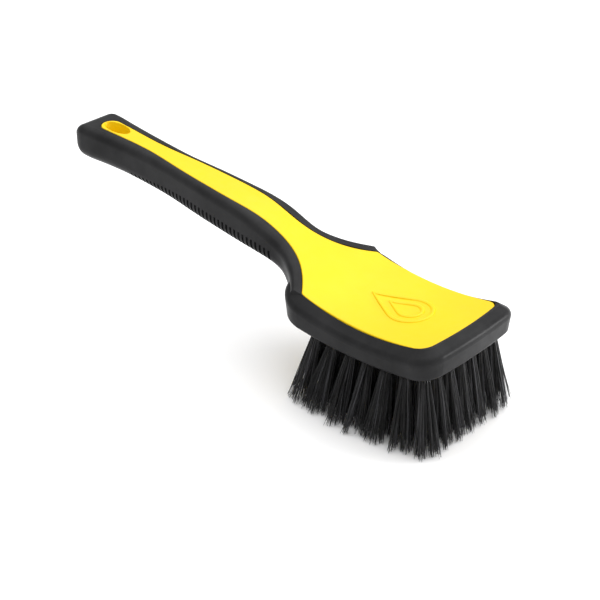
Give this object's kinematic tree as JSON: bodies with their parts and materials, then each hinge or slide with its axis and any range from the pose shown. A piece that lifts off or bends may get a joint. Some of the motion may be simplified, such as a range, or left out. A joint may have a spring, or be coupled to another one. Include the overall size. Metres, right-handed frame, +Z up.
{
  "type": "wheel brush",
  "caption": "Long-handled wheel brush with a curved bristle head, a hard core panel on top, a soft ribbed grip and rim, and an oval hanging hole.",
  "frame": {"origin": "on the surface that the bristle tips stand on, under the tip of the middle tuft and on the middle plane of the brush", "axes": "+Z up, from the bristle tips to the head; +X towards the toe of the head, so the handle points along -X and rises a little; +Y to the left of someone holding the handle and looking along +X"},
  "size_m": [0.2975, 0.0898, 0.0914],
  "materials": {
    "core_plastic": "satin moulded hard plastic, fine grain",
    "soft_rubber": "soft matt overmould with a satin bloom",
    "bristle": "drawn synthetic filament, black",
    "anchor_wire": "flat wire"
  },
  "bodies": {
    "root": {"handle_core": "core_plastic", "grip_overmould": "soft_rubber", "tuft_anchors": "anchor_wire", "tuft_1_1": "bristle", "tuft_1_2": "bristle", "tuft_1_3": "bristle", "tuft_1_4": "bristle", "tuft_1_5": "bristle", "tuft_1_6": "bristle", "tuft_1_7": "bristle", "tuft_2_1": "bristle", "tuft_2_2": "bristle", "tuft_2_3": "bristle", "tuft_2_4": "bristle", "tuft_2_5": "bristle", "tuft_2_6": "bristle", "tuft_2_7": "bristle", "tuft_3_1": "bristle", "tuft_3_2": "bristle", "tuft_3_3": "bristle", "tuft_3_4": "bristle", "tuft_3_5": "bristle", "tuft_3_6": "bristle", "tuft_3_7": "bristle", "tuft_4_1": "bristle", "tuft_4_2": "bristle", "tuft_4_3": "bristle", "tuft_4_4": "bristle", "tuft_4_5": "bristle", "tuft_4_6": "bristle", "tuft_4_7": "bristle", "tuft_5_1": "bristle", "tuft_5_2": "bristle", "tuft_5_3": "bristle", "tuft_5_4": "bristle", "tuft_5_5": "bristle", "tuft_5_6": "bristle", "tuft_5_7": "bristle", "tuft_6_1": "bristle", "tuft_6_2": "bristle", "tuft_6_3": "bristle", "tuft_6_4": "bristle", "tuft_6_5": "bristle", "tuft_6_6": "bristle", "tuft_6_7": "bristle", "tuft_7_1": "bristle", "tuft_7_2": "bristle", "tuft_7_3": "bristle", "tuft_7_4": "bristle", "tuft_7_5": "bristle", "tuft_7_6": "bristle", "tuft_7_7": "bristle"}
  },
  "joints": []
}
